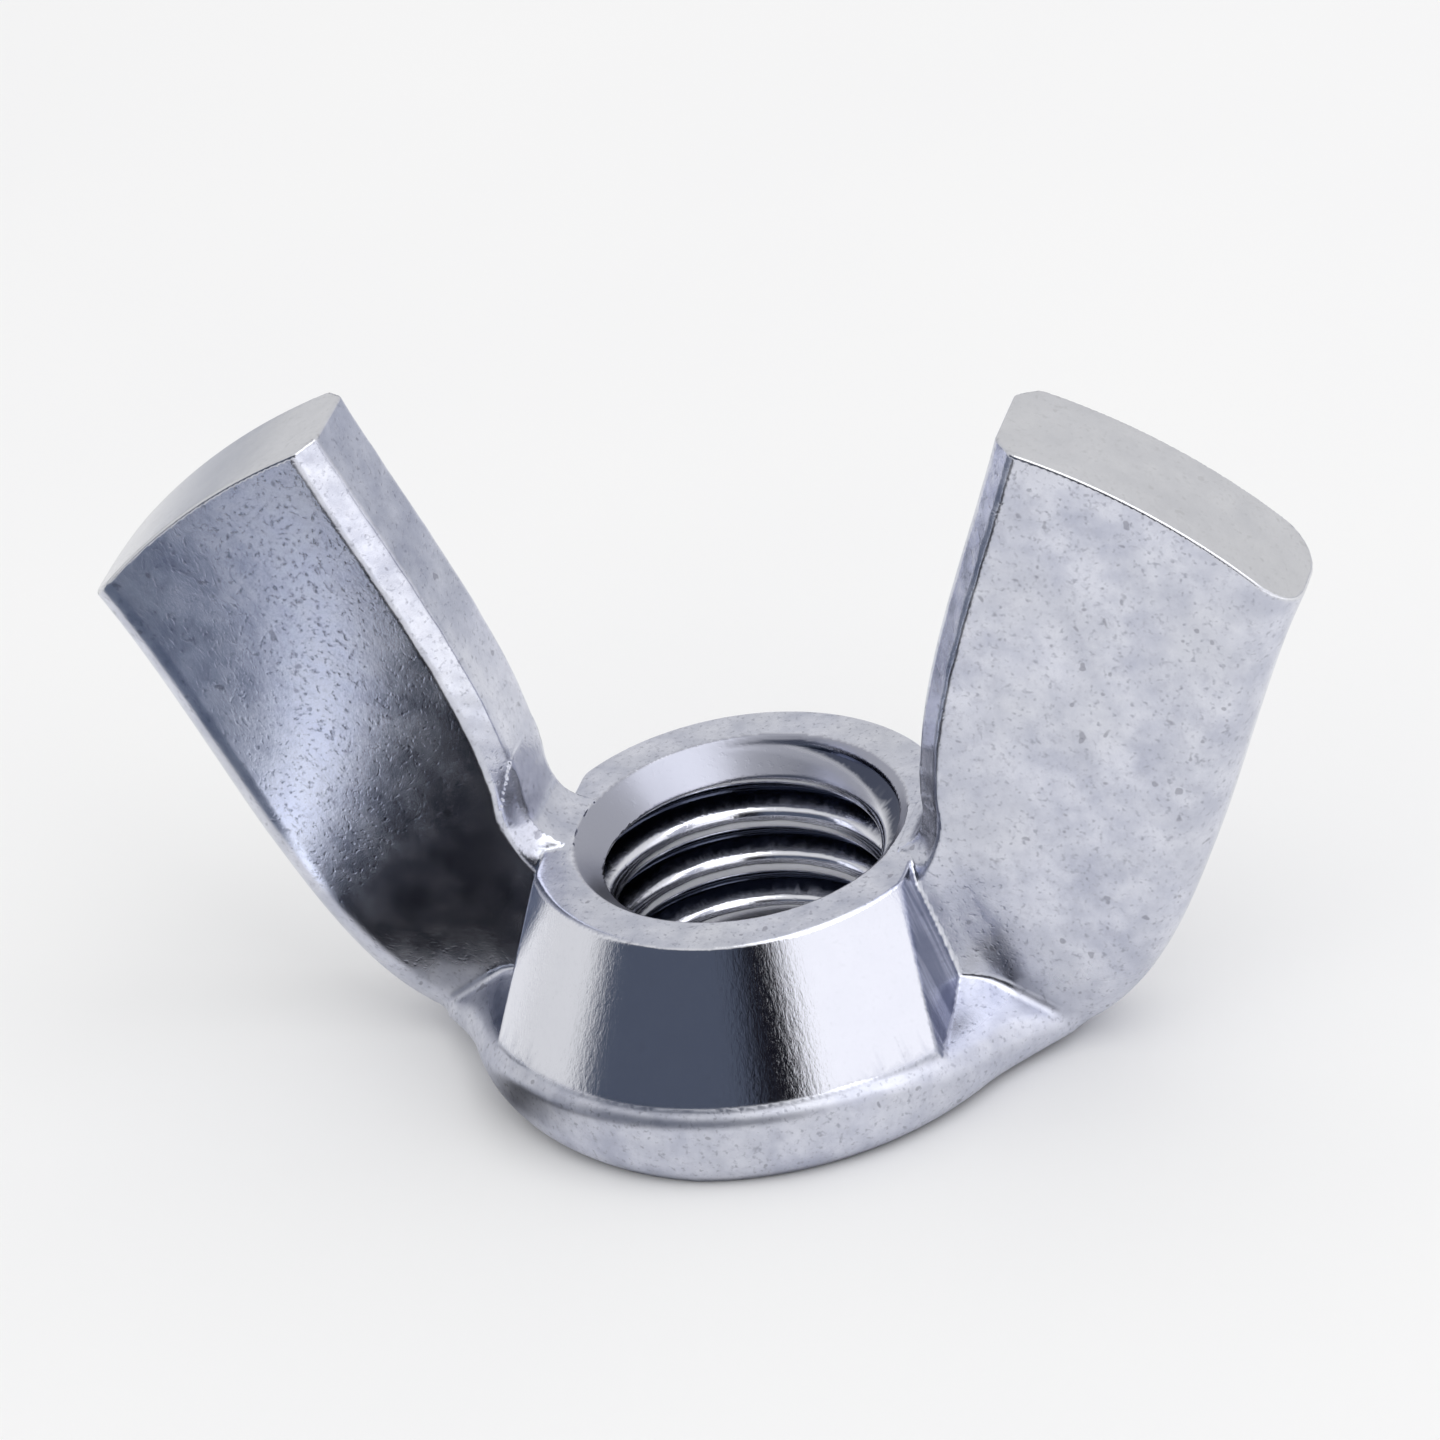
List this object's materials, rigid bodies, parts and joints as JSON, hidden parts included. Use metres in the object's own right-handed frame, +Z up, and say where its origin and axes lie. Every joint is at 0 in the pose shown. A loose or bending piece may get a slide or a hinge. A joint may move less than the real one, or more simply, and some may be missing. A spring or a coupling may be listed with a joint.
{
  "type": "wing nut",
  "caption": "Forged wing nut: tapered hub on a rounded base flange, coarse-threaded through hole and upswept flat wings.",
  "frame": {"origin": "centre of the threaded hole, on the bearing face at the bottom of the base flange", "axes": "+Z up along the thread axis, out of the side the wings are on; X along the wings; Y through the wings' thickness"},
  "size_m": [0.0362, 0.0178, 0.0206],
  "materials": {
    "zinc": "thin bright zinc plating over a cold-forged surface, faintly mottled on the wings and shiny on the hub's taper"
  },
  "bodies": {
    "root": {"wing_nut": "zinc"}
  },
  "joints": []
}
